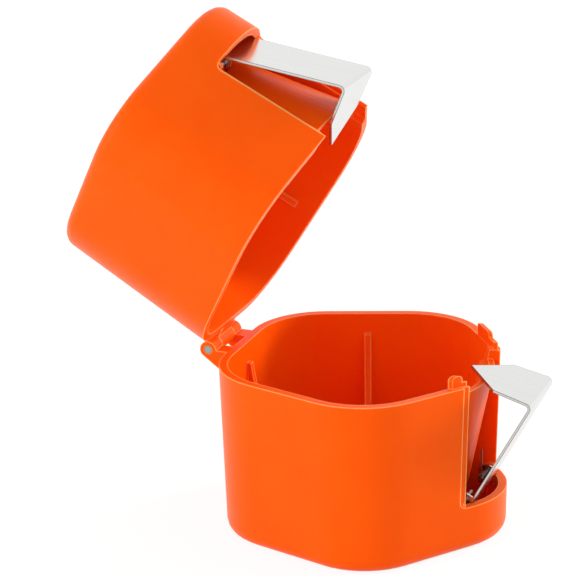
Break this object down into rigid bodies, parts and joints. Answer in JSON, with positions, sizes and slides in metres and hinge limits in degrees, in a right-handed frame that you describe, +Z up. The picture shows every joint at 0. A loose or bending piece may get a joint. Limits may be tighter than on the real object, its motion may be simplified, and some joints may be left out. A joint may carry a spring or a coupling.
{
  "type": "egg topper",
  "caption": "Hinged five-sided egg topper in orange moulded plastic with a bent, pointed steel blade pivoting in each half.",
  "frame": {"origin": "underside of the base, below the centre of its five-sided outline", "axes": "+Z up out of the base, -Y to the front where the blades are, +X to the right seen from the front"},
  "size_m": [0.0538, 0.0878, 0.0962],
  "materials": {
    "orange_plastic": "gloss",
    "blade_steel": "satin",
    "pin_steel": "satin",
    "spring_steel": "satin"
  },
  "bodies": {
    "base": {"base_shell": "orange_plastic", "hinge_pin": "pin_steel", "lower_blade_pins": "pin_steel", "lower_blade_spring": "spring_steel"},
    "lid": {"lid_shell": "orange_plastic", "upper_blade_pins": "pin_steel", "upper_blade_spring": "spring_steel"},
    "lower_blade": {"lower_blade": "blade_steel"},
    "upper_blade": {"upper_blade": "blade_steel"}
  },
  "joints": [
    {"name": "lid_hinge", "type": "hinge", "parent": "base", "child": "lid", "pos_m": [0, 0.02888, 0.0326], "axis": [-1, 0, 0], "range_deg": [-59.8, 30.2]},
    {"name": "lower_blade_press", "type": "hinge", "parent": "base", "child": "lower_blade", "pos_m": [0, -0.02148, 0.009], "axis": [-1, 0, 0], "range_deg": [0, 22.8], "stiffness_Nm_per_rad": 0.01, "springref_deg": -17.19, "deforming": ["lower_blade_spring"]},
    {"name": "upper_blade_press", "type": "hinge", "parent": "lid", "child": "upper_blade", "pos_m": [0, 0.02395, 0.08799], "axis": [1, 0, 0], "range_deg": [0, 13.9], "stiffness_Nm_per_rad": 0.01, "springref_deg": -17.19, "deforming": ["upper_blade_spring"]}
  ]
}
